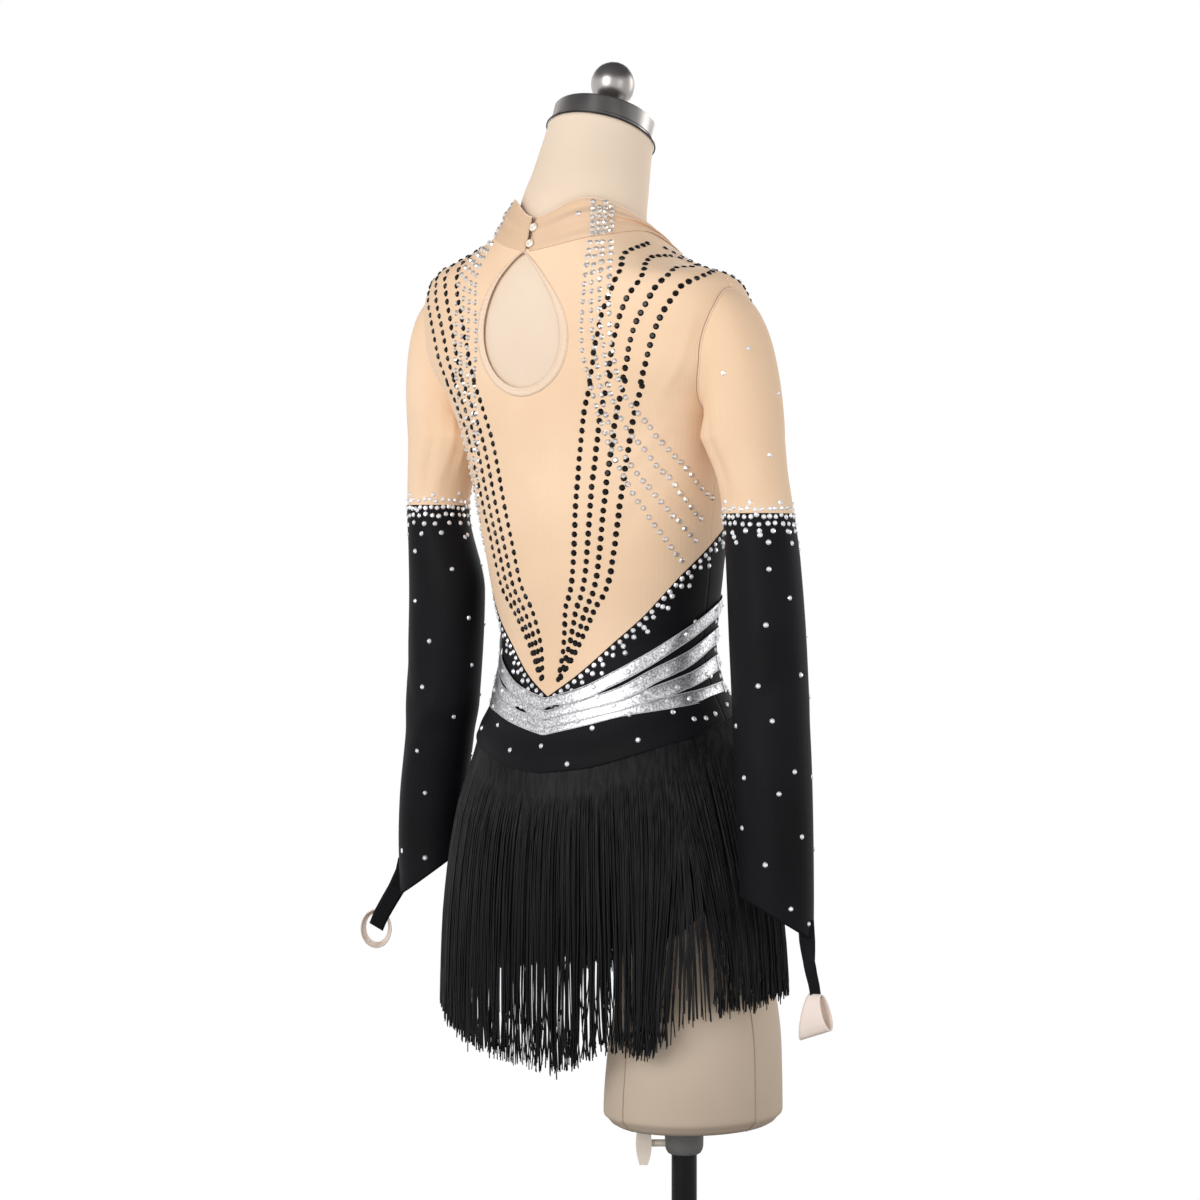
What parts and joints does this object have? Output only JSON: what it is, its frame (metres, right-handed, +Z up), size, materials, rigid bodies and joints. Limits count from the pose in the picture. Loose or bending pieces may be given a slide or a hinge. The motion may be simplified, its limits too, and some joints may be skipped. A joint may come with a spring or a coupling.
{
  "type": "figure skating dress on limbless dress form",
  "caption": "Long-sleeved figure skating dress with mesh back, keyhole, V bodice and fringe skirt, worn by a limbless dress form on a pole stand.",
  "frame": {"origin": "centre of the base plate's underside, on the pole's axis", "axes": "+Z up along the pole; the wearer faces -Y and the wearer's right is -X"},
  "size_m": [0.6017, 0.43, 1.5387],
  "materials": {
    "nude_mesh": "sheer skin-coloured stretch mesh",
    "nude_elastic": "satin",
    "black_cloth": "soft matt stretch jersey",
    "black_fringe": "rayon chainette fringe",
    "silver_band": "metallic foil stretch",
    "clear_button": "clear glossy",
    "form_cover": "matt, skin toned, jersey covered",
    "polished_metal": "polished",
    "dark_metal": "satin",
    "lever_plastic": "matt"
  },
  "bodies": {
    "stand": {"base_plate": "dark_metal", "pole": "dark_metal"},
    "carriage": {"pole_collar": "dark_metal"},
    "form": {"back_mesh_panel": "nude_mesh", "front_mesh_panel": "nude_mesh", "keyhole_binding": "nude_mesh", "sleeve_mesh_right": "nude_mesh", "sleeve_mesh_left": "nude_mesh", "collar": "nude_mesh", "finger_loop_right": "nude_elastic", "finger_loop_left": "nude_elastic", "back_bodice": "black_cloth", "front_bodice": "black_cloth", "crotch_gusset": "black_cloth", "back_yoke": "black_cloth", "front_yoke": "black_cloth", "sleeve_black_right": "black_cloth", "sleeve_black_left": "black_cloth", "back_fringe": "black_fringe", "front_fringe": "black_fringe", "back_band_first": "silver_band", "back_band_second": "silver_band", "back_band_third": "silver_band", "back_band_fourth": "silver_band", "front_band_first": "silver_band", "front_band_second": "silver_band", "front_band_third": "silver_band", "front_band_fourth": "silver_band", "closure_button_low": "clear_button", "closure_button_high": "clear_button", "form_body": "form_cover", "neck_cap": "polished_metal", "neck_knob": "polished_metal"},
    "clamp": {"clamp_screw": "lever_plastic"}
  },
  "joints": [
    {"name": "height_slide", "type": "slide", "parent": "stand", "child": "carriage", "axis": [0, 0, 1], "range_m": [-0.2, 0.09]},
    {"name": "form_swivel", "type": "hinge", "parent": "carriage", "child": "form", "pos_m": [0, 0, 0.488], "axis": [0, 0, 1], "continuous": true},
    {"name": "clamp_turn", "type": "hinge", "parent": "carriage", "child": "clamp", "pos_m": [0.02298, 0.01929, 0.466], "axis": [0.7659, 0.6429, 0], "continuous": true}
  ]
}
